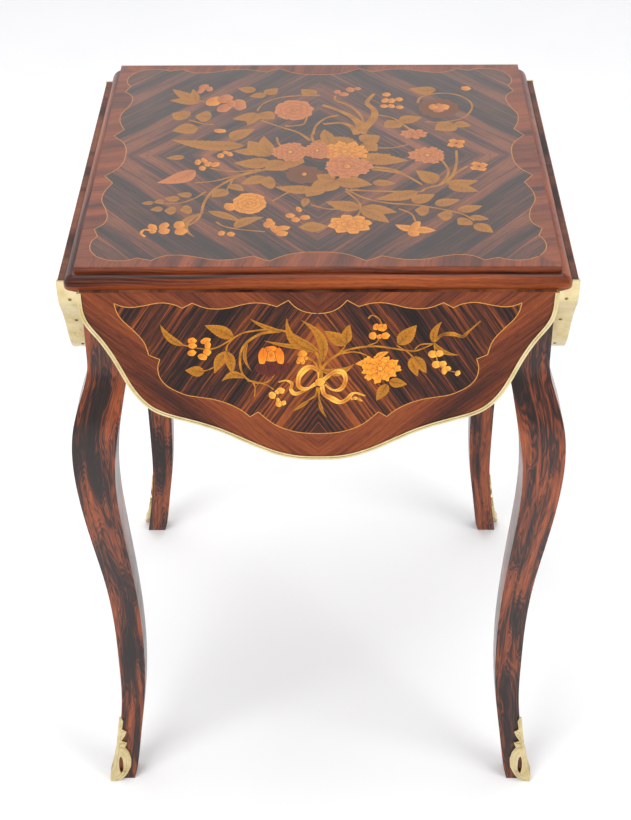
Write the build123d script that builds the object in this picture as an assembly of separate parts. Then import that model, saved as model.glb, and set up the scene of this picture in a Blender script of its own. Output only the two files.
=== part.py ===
from build123d import *
import os
from math import cos, radians, sin

# Vintage sewing table: four rule-jointed drop leaves on cabriole legs.
# Frame: mm, origin on the floor under the centre of the top, +X right, +Y back, +Z up.

# Overall
TOP = 500.0
HEIGHT = 745.0
PLAY = 0.02

# Rule joint, as a section: fillet, quarter-round ovolo about the hinge pin, short lip
FILLET = 7.5
OVOLO_R = 12.0
LIP = 2.5
COVE_R = 12.8
LEAF_GAP = 0.3
SLAB = FILLET + OVOLO_R + LIP
VENEER = 1.0
PIN_Z = HEIGHT - FILLET - OVOLO_R
PIN_OUT = TOP / 2
UNDER = HEIGHT - SLAB

# Leaf outline, half of it: distance from the middle, depth below the top surface
LEAF_HALF = 246.8
LEAF_OUTLINE = [
    (246.4, 36.0),
    (242.5, 55.0),
    (232.0, 72.0),
    (212.0, 110.0),
    (200.0, 138.0),
    (178.0, 166.0),
    (142.0, 181.0),
    (103.0, 196.0),
    (62.0, 218.0),
    (22.0, 231.0),
]
LEAF_TIP = 232.0
SIDE_DROP = 0.87

# Brass binding round a leaf
BAND_T = 2.5
FLANGE_W = 4.5
FLANGE_BASE = 0.6
OUTER_BEAD = (0.0, 2.1, 1.3)
INNER_BEAD = (2.9, 4.5, 1.0)
NAIL_SPOTS = [0.035, 0.11, 0.19, 0.27, 0.35, 0.44]
NAIL_HEAD_R = 2.0
NAIL_HEAD_H = 0.7
NAIL_SHANK_R = 0.7
NAIL_LEN = 12.0
NAIL_LIFT = 0.1

# Table hinges, two to a leaf
HINGE_AT = 140.0
HINGE_HALF = 20.0
KNUCKLE_R = 2.5
PIN_R = 1.2
MID_KNUCKLE = 6.9
PLATE_T = 1.5
PLATE_NEAR = 3.2
FIXED_LEN = 36.0
MOVING_LEN = 45.0

# Wood screws
SCREW_HEAD_R = 3.0
SCREW_R = 1.5
SCREW_LEN = 12.0

# Legs: outer and inner edge of one face, as (distance from the middle, height)
STILE_OUT = 246.5
STILE_IN = 206.0
STILE_FOOT_OUT = 627.0
STILE_FOOT_IN = 602.0
LEG_OUTER = [
    (STILE_OUT, STILE_FOOT_OUT),
    (252.5, 594.0),
    (264.3, 557.0),
    (269.5, 510.0),
    (267.5, 460.0),
    (258.5, 380.3),
    (250.5, 318.9),
    (245.2, 245.3),
    (244.3, 173.8),
    (245.6, 118.6),
    (250.8, 69.5),
    (260.5, 0.0),
]
LEG_INNER = [
    (236.0, 0.0),
    (226.5, 53.2),
    (217.8, 118.6),
    (212.6, 209.6),
    (215.5, 306.7),
    (221.5, 393.6),
    (224.8, 460.0),
    (221.6, 519.0),
    (213.0, 567.0),
    (STILE_IN, STILE_FOOT_IN),
]

# Sabots: outer line, then the outline of a wing as (distance in from that line, height)
SABOT_OUTER = [
    (266.0, 0.0),
    (265.4, 8.0),
    (261.2, 20.0),
    (256.6, 44.0),
    (253.2, 68.0),
    (249.6, 100.0),
]
WING = [
    (2.6, 96.0),
    (5.2, 91.0),
    (4.6, 78.0),
    (10.4, 74.5),
    (8.6, 68.0),
    (5.0, 60.0),
    (12.4, 57.5),
    (10.4, 50.0),
    (16.0, 43.0),
    (20.4, 33.0),
    (21.6, 21.0),
    (19.6, 11.0),
    (13.6, 2.5),
    (9.0, 0.0),
]
WING_HOLE = (9.0, 24.0, 2.7, 12.0)
SABOT_PINS = [(15.0, 14.0), (4.6, 64.0)]

# Aprons
APRON_OUT = 232.0
APRON_T = 18.0
APRON_EDGE = [(STILE_IN, 620.0), (165.0, 626.0), (110.0, 640.0), (50.0, 638.0), (0.0, 631.0)]
TENON = 12.0
TENON_T = 8.0
TENON_Z = (642.0, 710.0)

# Corner blocks under the top and the screws through them
BLOCK_LEG = 50.0
BLOCK_H = 30.0
BLOCK_SCREW_AT = 193.0

# Brass leaf stay: pivot on the leaf and guide in the apron, from the hinge pin
STAY_DEPTH = 65.0
STAY_IN = 10.5
GUIDE_DEPTH = 60.0
STAY_REST = 16.86
STAY_H = 8.0
STAY_T = 3.0
STAY_LEN = 119.6
KNOB_R = 5.5
KNOB_L = 4.0
SLOT_HALF_W = 2.0
SLOT_HALF_H = 11.5
FORK_GAP = 1.7
FORK_T = 2.0
STAY_PIN_R = 1.6

SIDES = {"front": 0, "right": 90, "back": 180, "left": 270}
CORNERS = {"back_right": 0, "back_left": 90, "front_left": 180, "front_right": 270}

# Local frame of the front leaf: x along the leaf, y up from the hinge pin, z outward
LEAF = Plane(origin=(0, -PIN_OUT, PIN_Z), x_dir=(1, 0, 0), z_dir=(0, -1, 0))
INSIDE = -LIP
OUTSIDE = FILLET + OVOLO_R


def box(x0, x1, y0, y1, z0, z1):
    """Box between two corners."""
    return Pos((x0 + x1) / 2, (y0 + y1) / 2, (z0 + z1) / 2) * Box(x1 - x0, y1 - y0, z1 - z0)


def rod_x(radius, x0, x1, y=0.0, z=0.0):
    """Cylinder along X."""
    return Pos((x0 + x1) / 2, y, z) * Rot(0, 90, 0) * Cylinder(radius, x1 - x0)


def turned(shape, angle):
    """Shape turned about the table's middle."""
    return Rot(0, 0, angle) * shape


def screw(length=SCREW_LEN, head=SCREW_HEAD_R, shank=SCREW_R, play=0.0):
    """Countersunk screw, head flush at z 0, pointing along +Z."""
    cone = Pos(0, 0, PLATE_T / 2) * Cone(head + play, shank + play, PLATE_T)
    stem = Pos(0, 0, length / 2) * Cylinder(shank + play, length + 2 * play)
    return cone + stem


def group(shapes):
    """Separate solids kept together in one node."""
    return Compound(children=[s for shape in shapes for s in shape.solids()])


# ---- leaf outline ------------------------------------------------------------

def leaf_curve(drop):
    """A leaf's curved edge in the leaf frame, from the right end of the hinge side to the left."""
    right = [(LEAF_HALF, -LEAF_GAP)]
    right += [(s, OUTSIDE - depth * drop) for s, depth in LEAF_OUTLINE]
    left = [(-s, y) for s, y in reversed(right)]
    return Spline(*right, (0.0, OUTSIDE - LEAF_TIP * drop), *left)


def leaf_face(drop, inset):
    """Face of a leaf, its curved edge moved inward by inset."""
    curve = leaf_curve(drop)
    if inset:
        right = [(LEAF_HALF - inset, -LEAF_GAP)]
        for i in range(1, 24):
            at = curve @ (i / 48)
            along = curve % (i / 48)
            right.append((at.X + along.Y * inset, at.Y - along.X * inset))
        left = [(-x, y) for x, y in reversed(right)]
        curve = Spline(*right, (0.0, OUTSIDE - LEAF_TIP * drop + inset), *left)
    return make_face(curve + Line(curve @ 1, curve @ 0))


def slab_of(face, z0, z1):
    """Face of the leaf frame made into a plate between two depths."""
    return Pos(0, 0, z0) * extrude(face, z1 - z0)


# ---- fixings in the leaf frame -----------------------------------------------

def hinge_spots():
    """Middles of the two hinges on a leaf."""
    return (-HINGE_AT, HINGE_AT)


def leaf_screw_spots():
    """Screws of a leaf's two hinges, as (x, y)."""
    spots = []
    for mid in hinge_spots():
        spots += [(mid - 13.0, -20.0), (mid + 13.0, -20.0), (mid, -37.0)]
    return spots


def bracket_screw_spots():
    """Screws of the stay bracket, as (x, y)."""
    return [(-8.0, -STAY_DEPTH), (8.0, -STAY_DEPTH)]


def top_screw_spots():
    """Screws of a side's two fixed hinge plates, as (x, distance in from the pin)."""
    spots = []
    for mid in hinge_spots():
        spots += [(mid - 13.0, 12.0), (mid + 13.0, 12.0), (mid, 28.0)]
    return spots


def moving_plates():
    """Leaf half of both hinges: let-in plate with the middle knuckle."""
    parts = []
    for mid in hinge_spots():
        plate = box(mid - HINGE_HALF, mid + HINGE_HALF, -MOVING_LEN, -PLATE_NEAR, INSIDE,
                    INSIDE + PLATE_T)
        plate += box(mid - MID_KNUCKLE, mid + MID_KNUCKLE, -PLATE_NEAR, 0, INSIDE,
                     INSIDE + PLATE_T)
        plate += rod_x(KNUCKLE_R, mid - MID_KNUCKLE, mid + MID_KNUCKLE)
        plate -= rod_x(PIN_R + 0.05, mid - HINGE_HALF, mid + HINGE_HALF)
        parts.append(plate)
    for x, y in leaf_screw_spots():
        hole = Pos(x, y, INSIDE) * screw(play=PLAY)
        parts = [p - hole for p in parts]
    return group(parts)


def fixed_plates():
    """Top half of both hinges, in the leaf frame: let-in plate with two outer knuckles."""
    parts = []
    for mid in hinge_spots():
        near, far = mid - HINGE_HALF, mid + HINGE_HALF
        plate = box(near, far, INSIDE, INSIDE + PLATE_T, -FIXED_LEN, -PLATE_NEAR)
        for a, b in ((near, mid - MID_KNUCKLE - 0.1), (mid + MID_KNUCKLE + 0.1, far)):
            plate += box(a, b, INSIDE, INSIDE + PLATE_T, -PLATE_NEAR, 0)
            plate += rod_x(KNUCKLE_R, a, b)
        plate -= rod_x(PIN_R + PLAY, near, far)
        parts.append(plate)
    for x, back in top_screw_spots():
        hole = Pos(x, INSIDE, -back) * Rot(-90, 0, 0) * screw(play=PLAY)
        parts = [p - hole for p in parts]
    return parts


def bracket():
    """Fork on the inside of a leaf that carries the stay."""
    fork = box(-12, 12, -STAY_DEPTH - 9, -STAY_DEPTH + 9, INSIDE - PLATE_T, INSIDE)
    for side in (-1, 1):
        a, b = sorted((side * FORK_GAP, side * (FORK_GAP + FORK_T)))
        fork += box(a, b, -STAY_DEPTH - 4, -STAY_DEPTH + 4, -STAY_IN, INSIDE - PLATE_T)
        fork += rod_x(4.0, a, b, -STAY_DEPTH, -STAY_IN)
    fork -= rod_x(STAY_PIN_R + PLAY, -6, 6, -STAY_DEPTH, -STAY_IN)
    for x, y in bracket_screw_spots():
        fork -= Pos(x, y, INSIDE - PLATE_T) * screw(play=PLAY)
    return fork


def stay_pin():
    """Riveted pin through the fork."""
    reach = FORK_GAP + FORK_T + PLAY
    pin = rod_x(STAY_PIN_R, -reach, reach, -STAY_DEPTH, -STAY_IN)
    for side in (-1, 1):
        a, b = sorted((side * reach, side * (reach + 0.8)))
        pin += rod_x(2.5, a, b, -STAY_DEPTH, -STAY_IN)
    return pin


def stay_rod():
    """Flat brass bar with an eye at the leaf and a stop knob inside the frame."""
    bar = box(-STAY_T / 2, STAY_T / 2, -STAY_H / 2, STAY_H / 2, -STAY_LEN, 0)
    bar += rod_x(4.5, -STAY_T / 2, STAY_T / 2)
    bar += Pos(0, 0, -STAY_LEN - KNOB_L / 2) * Cylinder(KNOB_R, KNOB_L)
    bar -= rod_x(STAY_PIN_R + 0.06, -3, 3)
    return Pos(0, -STAY_DEPTH, -STAY_IN) * Rot(STAY_REST, 0, 0) * bar


def nail_frames(drop):
    """Where the band nails go, z pointing into the leaf."""
    curve = leaf_curve(drop)
    mid = (INSIDE + OUTSIDE) / 2
    frames = []
    for u in NAIL_SPOTS:
        at = curve @ u
        along = curve % u
        for side in (1, -1):
            frames.append(Plane(origin=(side * at.X, at.Y, mid), x_dir=(0, 0, 1),
                                z_dir=(side * along.Y, -along.X, 0)))
    return frames


def nail(play=0.0):
    """Domed nail pointing along +Z, its head just clear of z 0 for the curve of the band."""
    if play:
        return Cylinder(NAIL_SHANK_R + play, 2 * NAIL_LEN + 2 * play)
    stem = Pos(0, 0, NAIL_LEN / 2 - NAIL_LIFT) * Cylinder(NAIL_SHANK_R, NAIL_LEN + 2 * NAIL_LIFT)
    sphere_r = (NAIL_HEAD_R**2 + NAIL_HEAD_H**2) / (2 * NAIL_HEAD_H)
    dome = Pos(0, 0, sphere_r - NAIL_HEAD_H - NAIL_LIFT) * Sphere(sphere_r)
    dome = dome & Pos(0, 0, -2 - NAIL_LIFT) * Box(9, 9, 4)
    return dome + stem


# ---- leaf pieces ---------------------------------------------------------------

def build_leaf(side, drop):
    """All the pieces that move with one leaf."""
    turn = SIDES[side]
    cove = rod_x(COVE_R, -300, 300)
    outer = leaf_face(drop, 0.0)
    inner = leaf_face(drop, BAND_T)
    panel = slab_of(inner, INSIDE, OUTSIDE - VENEER) - cove
    veneer = slab_of(inner, OUTSIDE - VENEER, OUTSIDE)
    band = slab_of(outer, INSIDE, OUTSIDE) - slab_of(inner, INSIDE, OUTSIDE) - cove
    rim = leaf_face(drop, FLANGE_W)
    flange = slab_of(outer, OUTSIDE, OUTSIDE + FLANGE_BASE)
    flange -= slab_of(rim, OUTSIDE, OUTSIDE + FLANGE_BASE)
    for near, far, rise in (OUTER_BEAD, INNER_BEAD):
        a = leaf_face(drop, near)
        b = rim if far == FLANGE_W else leaf_face(drop, far)
        low = OUTSIDE + FLANGE_BASE
        flange += slab_of(a, low, OUTSIDE + rise) - slab_of(b, low, OUTSIDE + rise)
    band += flange
    for mid in hinge_spots():
        panel -= box(mid - HINGE_HALF - PLAY, mid + HINGE_HALF + PLAY, -MOVING_LEN - PLAY, 0,
                     INSIDE - 1, INSIDE + PLATE_T + PLAY)
    screws = []
    for x, y in leaf_screw_spots():
        panel -= Pos(x, y, INSIDE) * screw(play=PLAY)
        screws.append(Pos(x, y, INSIDE) * screw())
    for x, y in bracket_screw_spots():
        panel -= Pos(x, y, INSIDE - PLATE_T) * screw(play=PLAY)
        screws.append(Pos(x, y, INSIDE - PLATE_T) * screw())
    nails = []
    for frame in nail_frames(drop):
        hole = frame * nail(play=PLAY)
        panel -= hole
        band -= hole
        nails.append(frame * nail())
    pieces = {
        "leaf": panel,
        "leaf_marquetry": veneer,
        "leaf_band": band,
        "band_nails": group(nails),
        "hinge_leaf_plates": moving_plates(),
        "leaf_screws": group(screws),
        "stay_bracket": bracket(),
        "stay_pin": stay_pin(),
        "stay": stay_rod(),
    }
    for name, shape in pieces.items():
        placed = turned(LEAF * shape, turn)
        export_step(placed, f"parts/{side}_{name}.step")


# ---- top -----------------------------------------------------------------------

def edge_section():
    """Ovolo and lip of the top's edge, outward from x 0, in the XZ plane."""
    outline = Polyline((0, OVOLO_R), (0, -LIP), (OVOLO_R, -LIP), (OVOLO_R, 0))
    return Plane.XZ * make_face(outline + CenterArc((0, 0), OVOLO_R, 0, 90))


def build_top():
    """Solid top with the ovolo round all four sides and corners, and its marquetry."""
    half = TOP / 2
    slab = box(-half, half, -half, half, UNDER, HEIGHT - VENEER)
    straight = Pos(0, half, 0) * extrude(edge_section(), TOP)
    nose = revolve(edge_section(), Axis.Z, 90)
    for turn in SIDES.values():
        slab += turned(Pos(half, 0, PIN_Z) * straight, turn)
        slab += turned(Pos(half, half, PIN_Z) * nose, turn)
    fixed = []
    pins = []
    screws = []
    for turn in SIDES.values():
        for mid in hinge_spots():
            reach = HINGE_HALF + 0.3
            near, far = mid - reach, mid + reach
            cut = rod_x(KNUCKLE_R + 0.6, near, far)
            cut += box(near, far, INSIDE - 1, 0, -PLATE_NEAR + 0.1, 4.2)
            cut += box(near, far, INSIDE - 1, -0.8, -PLATE_NEAR + 0.1, OVOLO_R + 1)
            cut += box(mid - HINGE_HALF - PLAY, mid + HINGE_HALF + PLAY, INSIDE - 1,
                       INSIDE + PLATE_T + PLAY, -FIXED_LEN - PLAY, -PLATE_NEAR + 0.2)
            slab -= turned(LEAF * cut, turn)
            pins.append(turned(LEAF * rod_x(PIN_R, mid - HINGE_HALF, mid + HINGE_HALF), turn))
        for x, back in top_screw_spots():
            place = Pos(x, INSIDE, -back) * Rot(-90, 0, 0)
            slab -= turned(LEAF * (place * screw(play=PLAY)), turn)
            screws.append(turned(LEAF * (place * screw()), turn))
        fixed += [turned(LEAF * plate, turn) for plate in fixed_plates()]
    long_screws = []
    for turn in CORNERS.values():
        place = Pos(BLOCK_SCREW_AT, BLOCK_SCREW_AT, UNDER - BLOCK_H)
        slab -= turned(place * screw(length=42.0, play=PLAY), turn)
        long_screws.append(turned(place * screw(length=42.0), turn))
    export_step(slab, "parts/top_panel.step")
    veneer = box(-half, half, -half, half, HEIGHT - VENEER, HEIGHT)
    export_step(veneer, "parts/top_marquetry.step")
    export_step(group(fixed), "parts/hinge_top_plates.step")
    export_step(group(pins), "parts/hinge_pins.step")
    export_step(group(screws), "parts/hinge_top_screws.step")
    export_step(group(long_screws), "parts/top_fixing_screws.step")


# ---- legs and sabots -----------------------------------------------------------

def leg_profile():
    """One face of a leg, in the XZ plane."""
    outer = Spline(*LEG_OUTER, tangents=[(0, -1), (0.15, -1)])
    inner = Spline(*LEG_INNER, tangents=[(-0.35, 1), (-0.25, 1)])
    sides = Line((STILE_OUT, UNDER), LEG_OUTER[0]) + Line(LEG_OUTER[-1], LEG_INNER[0])
    sides += Line(LEG_INNER[-1], (STILE_IN, UNDER)) + Line((STILE_IN, UNDER), (STILE_OUT, UNDER))
    return make_face(outer + inner + sides)


def foot_core():
    """Everything inside the outer line of a foot, in the XZ plane."""
    outer = Spline(*LEG_OUTER, tangents=[(0, -1), (0.15, -1)])
    back = Polyline(LEG_OUTER[-1], (190, 0), (190, STILE_FOOT_OUT), LEG_OUTER[0])
    return make_face(outer + back)


def swap(shape):
    """Shape mirrored across the diagonal of a leg."""
    return mirror(shape, Plane(origin=(0, 0, 0), z_dir=(1, -1, 0)))


def along_y(face):
    """Profile in the XZ plane carried through the +X +Y corner."""
    return Pos(0, 300, 0) * extrude(Plane.XZ * face, 120)


def sabot_x(z):
    """Outer line of a sabot at a height."""
    for (xa, za), (xb, zb) in zip(SABOT_OUTER, SABOT_OUTER[1:]):
        if za <= z <= zb:
            return xa + (xb - xa) * (z - za) / (zb - za)
    return SABOT_OUTER[-1][0]


def build_legs():
    """Legs, mortised for the aprons, with gilt sabots pinned on the feet."""
    leg_y = along_y(leg_profile())
    leg = leg_y & swap(leg_y)
    centre = APRON_OUT - APRON_T / 2
    low, high = TENON_Z
    near, far = centre - TENON_T / 2, centre + TENON_T / 2
    leg -= box(STILE_IN - 1, STILE_IN + TENON, near, far, low, high)
    leg -= box(near, far, STILE_IN - 1, STILE_IN + TENON, low, high)

    shell = Polyline(*SABOT_OUTER, (230, 100), (230, 0), close=True)
    grown = along_y(make_face(shell))
    outline = [(sabot_x(z) - u, z) for u, z in WING]
    rim = Polyline((275, 0), (275, 96), *outline, close=True)
    wing = along_y(make_face(rim))
    u, z, half_w, half_h = WING_HOLE
    wing -= along_y(Pos(sabot_x(z) - u, z) * Ellipse(half_w, half_h))
    front = (swap(grown) - swap(along_y(foot_core()))) & wing & grown
    sabot = (front + swap(front)) - leg

    pins = []
    for u, z in SABOT_PINS:
        x = sabot_x(z) - u
        place = Pos(x, sabot_x(z) + 0.2, z) * Rot(90, 0, 0)
        pin = place * (Cylinder(1.3, 1.0) + Pos(0, 0, 4) * Cylinder(0.6, 8))
        hole = place * (Cylinder(1.3 + PLAY, 1.0 + PLAY) + Pos(0, 0, 4) * Cylinder(0.62, 8.1))
        for shape, cut in ((pin, hole), (swap(pin), swap(hole))):
            pins.append(shape)
            leg -= cut
            sabot -= cut
    every_pin = []
    for name, turn in CORNERS.items():
        export_step(turned(leg, turn), f"parts/{name}_leg.step")
        export_step(turned(sabot, turn), f"parts/{name}_sabot.step")
        every_pin += [turned(p, turn) for p in pins]
    export_step(group(every_pin), "parts/sabot_pins.step")


# ---- frame ---------------------------------------------------------------------

def build_frame():
    """Aprons, corner blocks and the guides the stays slide in."""
    half = [(x, z) for x, z in APRON_EDGE]
    edge = half + [(-x, z) for x, z in reversed(half[:-1])]
    curve = Spline(*edge)
    walls = Line(edge[-1], (-STILE_IN, UNDER)) + Line((-STILE_IN, UNDER), (STILE_IN, UNDER))
    walls += Line((STILE_IN, UNDER), edge[0])
    board = extrude(Plane.XZ * make_face(curve + walls), APRON_T)
    board = Pos(0, -APRON_OUT + APRON_T, 0) * board
    centre = APRON_OUT - APRON_T / 2
    low, high = TENON_Z
    board += box(-STILE_IN - TENON, STILE_IN + TENON, -centre - TENON_T / 2,
                 -centre + TENON_T / 2, low, high)
    slot_z = PIN_Z - GUIDE_DEPTH
    slot = box(-SLOT_HALF_W, SLOT_HALF_W, -APRON_OUT - 5, -APRON_OUT + APRON_T + 5,
               slot_z - SLOT_HALF_H, slot_z + SLOT_HALF_H)
    board -= slot
    back = -APRON_OUT + APRON_T
    guide = box(-13, 13, back, back + PLATE_T, slot_z - 17, slot_z + 17) - slot
    guides = []
    screws = []
    for x in (-8.0, 8.0):
        place = Pos(x, back + PLATE_T, slot_z) * Rot(90, 0, 0)
        board -= place * screw(play=PLAY)
        guide -= place * screw(play=PLAY)
        screws.append(place * screw())
    for side, turn in SIDES.items():
        export_step(turned(board, turn), f"parts/{side}_apron.step")
        guides.append(turned(guide, turn))
    export_step(group(guides), "parts/stay_guides.step")
    export_step(group([turned(s, t) for s in screws for t in SIDES.values()]),
                "parts/guide_screws.step")

    inner = APRON_OUT - APRON_T
    outline = [(inner, inner - 8 - BLOCK_LEG), (inner, STILE_IN), (STILE_IN, STILE_IN),
               (STILE_IN, inner), (inner - 8 - BLOCK_LEG, inner)]
    block = extrude(make_face(Polyline(*outline, close=True)), BLOCK_H)
    block = Pos(0, 0, UNDER - BLOCK_H) * block
    block -= Pos(BLOCK_SCREW_AT, BLOCK_SCREW_AT, UNDER - BLOCK_H) * screw(length=42.0, play=PLAY)
    export_step(group([turned(block, t) for t in CORNERS.values()]), "parts/corner_blocks.step")


os.makedirs("parts", exist_ok=True)
build_top()
build_legs()
build_frame()
for side_name in SIDES:
    build_leaf(side_name, 1.0 if side_name in ("front", "back") else SIDE_DROP)
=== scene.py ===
import math

import bpy
from mathutils import Matrix, Vector


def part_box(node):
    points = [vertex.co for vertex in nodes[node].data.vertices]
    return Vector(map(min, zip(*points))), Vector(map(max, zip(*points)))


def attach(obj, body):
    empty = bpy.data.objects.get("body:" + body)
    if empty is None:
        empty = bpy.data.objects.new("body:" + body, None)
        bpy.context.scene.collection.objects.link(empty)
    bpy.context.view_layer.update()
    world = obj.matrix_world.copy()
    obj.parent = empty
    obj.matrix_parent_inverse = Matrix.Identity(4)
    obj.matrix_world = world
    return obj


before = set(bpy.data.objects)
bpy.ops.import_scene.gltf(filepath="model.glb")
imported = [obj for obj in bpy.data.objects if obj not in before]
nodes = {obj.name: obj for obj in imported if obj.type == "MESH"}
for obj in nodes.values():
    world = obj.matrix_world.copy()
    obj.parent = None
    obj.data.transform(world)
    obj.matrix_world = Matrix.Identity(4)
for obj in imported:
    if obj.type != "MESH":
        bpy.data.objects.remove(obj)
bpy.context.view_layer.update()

MM = 0.001

# Each side's turn about the table's middle, degrees, and each corner's signs in x and y.
SIDES = {"front": 0, "right": 90, "back": 180, "left": 270}
CORNERS = {"front_left": (-1, -1), "front_right": (1, -1), "back_left": (-1, 1),
           "back_right": (1, 1)}
TOP_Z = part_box("top_marquetry")[1].z
LEAF_FACE = -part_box("front_leaf_marquetry")[0].y

# The leaves' marquetry is drawn for a leaf that hangs this far below the top surface, m, and each
# leaf has it stretched to its own depth.
DRAWN_DROP = 0.232
STRETCH = {side: (TOP_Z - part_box(side + "_leaf_band")[0].z) / DRAWN_DROP for side in SIDES}


def lies_along_x(side):
    """Whether a side's leaf and apron run along x."""
    return side in ("front", "back")


# ---- shader helpers --------------------------------------------------------------

class Shader:
    """A material and short ways to add nodes to it."""

    def __init__(self, name):
        self.mat = bpy.data.materials.new(name)
        self.mat.use_nodes = True
        self.tree = self.mat.node_tree
        self.bsdf = self.tree.nodes["Principled BSDF"]

    def node(self, kind, **settings):
        made = self.tree.nodes.new(kind)
        for key, value in settings.items():
            setattr(made, key, value)
        return made

    def feed(self, socket, value):
        if isinstance(value, bpy.types.NodeSocket):
            self.tree.links.new(value, socket)
        else:
            socket.default_value = value

    def math(self, kind, a, b=0.0):
        made = self.node("ShaderNodeMath", operation=kind)
        self.feed(made.inputs[0], a)
        self.feed(made.inputs[1], b)
        return made.outputs[0]

    def plus(self, a, b):
        return self.math("ADD", a, b)

    def minus(self, a, b):
        return self.math("SUBTRACT", a, b)

    def times(self, a, b):
        return self.math("MULTIPLY", a, b)

    def size(self, a):
        return self.math("ABSOLUTE", a)

    def sway(self, noise, amount):
        """Noise about 0.5 as a number about 0."""
        return self.times(self.minus(noise, 0.5), amount)

    def blend(self, factor, a, b):
        """a where factor is 0, b where it is 1, for numbers."""
        made = self.node("ShaderNodeMix", data_type="FLOAT")
        self.feed(made.inputs[0], factor)
        self.feed(made.inputs[2], a)
        self.feed(made.inputs[3], b)
        return made.outputs[0]

    def tint(self, factor, a, b, kind="MIX"):
        """The same for colours."""
        made = self.node("ShaderNodeMix", data_type="RGBA", blend_type=kind)
        self.feed(made.inputs[0], factor)
        self.feed(made.inputs[6], a)
        self.feed(made.inputs[7], b)
        return made.outputs[2]

    def axes(self):
        """x, y and z in the table's frame at rest, m."""
        coords = self.node("ShaderNodeTexCoord")
        split = self.node("ShaderNodeSeparateXYZ")
        self.feed(split.inputs[0], coords.outputs["Object"])
        return split.outputs[0], split.outputs[1], split.outputs[2]

    def vector(self, x, y, z):
        made = self.node("ShaderNodeCombineXYZ")
        for socket, value in zip(made.inputs, (x, y, z)):
            self.feed(socket, value)
        return made.outputs[0]

    def noise(self, vector, scale, detail, rough, distortion=0.0):
        made = self.node("ShaderNodeTexNoise")
        self.feed(made.inputs["Vector"], vector)
        self.feed(made.inputs["Scale"], scale)
        self.feed(made.inputs["Detail"], detail)
        self.feed(made.inputs["Roughness"], rough)
        self.feed(made.inputs["Distortion"], distortion)
        return made.outputs["Fac"]

    def streaks(self, along, across, layer, per_metre, detail, rough, distortion=0.0):
        """Noise drawn out along the grain; per_metre is its density (along, across)."""
        where = self.vector(self.times(along, per_metre[0]), self.times(across, per_metre[1]),
                            layer)
        return self.noise(where, 1.0, detail, rough, distortion)

    def ramp(self, value, *stops):
        made = self.node("ShaderNodeValToRGB")
        self.feed(made.inputs[0], value)
        line = made.color_ramp
        while len(line.elements) < len(stops):
            line.elements.new(0.5)
        for element, (at, colour) in zip(line.elements, stops):
            element.position = at
            element.color = (*colour, 1.0)
        return made.outputs[0]

    def bump(self, height, strength, distance):
        made = self.node("ShaderNodeBump")
        self.feed(made.inputs["Strength"], strength)
        self.feed(made.inputs["Distance"], distance)
        self.feed(made.inputs["Height"], height)
        self.feed(self.bsdf.inputs["Normal"], made.outputs[0])

    def set(self, **values):
        for key, value in values.items():
            self.feed(self.bsdf.inputs[key.replace("_", " ")], value)
        return self.mat


# ---- woods and metals ------------------------------------------------------------

# Pores in the polish, their strength and depth, m, and the roughness of the polish itself.
PORE_STRENGTH = 0.05
PORE_DEPTH = 0.0004
POLISH_ROUGHNESS = 0.08

# Inlays within this distance below the top surface, m, have faded.
FADED_DEPTH = 0.0005

# Colours of a wood: (level of the figure, colour), from its darkest to its lightest.
EBONY = (0.009, 0.0045, 0.004)
DARK = (0.034, 0.012, 0.008)
BROWN = (0.105, 0.024, 0.008)
AMBER = (0.30, 0.070, 0.013)
FIELD = ((0.30, EBONY), (0.43, DARK), (0.54, BROWN), (0.71, AMBER))
TOP_FIELD = ((0.34, EBONY), (0.46, (0.027, 0.011, 0.008)), (0.57, (0.090, 0.027, 0.013)),
             (0.72, (0.22, 0.062, 0.020)))
BORDER = ((0.28, (0.040, 0.011, 0.006)), (0.43, (0.110, 0.023, 0.008)),
          (0.57, (0.185, 0.040, 0.011)), (0.76, (0.28, 0.065, 0.015)))
MOULDING = ((0.32, (0.018, 0.007, 0.005)), (0.42, (0.105, 0.020, 0.006)),
            (0.56, (0.215, 0.043, 0.009)), (0.76, (0.33, 0.078, 0.016)))
LIPS = ((0.34, (0.018, 0.009, 0.007)), (0.54, (0.090, 0.030, 0.017)),
        (0.72, (0.20, 0.07, 0.035)))
ROSEWOOD = ((0.37, (0.014, 0.007, 0.006)), (0.47, (0.048, 0.014, 0.009)),
            (0.54, (0.14, 0.032, 0.012)), (0.68, (0.29, 0.066, 0.018)))
OAK = ((0.3, (0.20, 0.12, 0.06)), (0.7, (0.42, 0.28, 0.15)))

# Direction of the grain on the veneered faces, degrees.
TOP_LOZENGE = 129.0
TOP_BAND_SLANT = 12.0
LEAF_FIELD_SLANT = 57.0
LEAF_BORDER_SLANT = 138.0


def turned(shader, a, b, degrees):
    """(a, b) as (along the grain, across it)."""
    c, s = math.cos(math.radians(degrees)), math.sin(math.radians(degrees))
    along = shader.plus(shader.times(a, c), shader.times(b, s))
    across = shader.minus(shader.times(b, c), shader.times(a, s))
    return along, across


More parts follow.
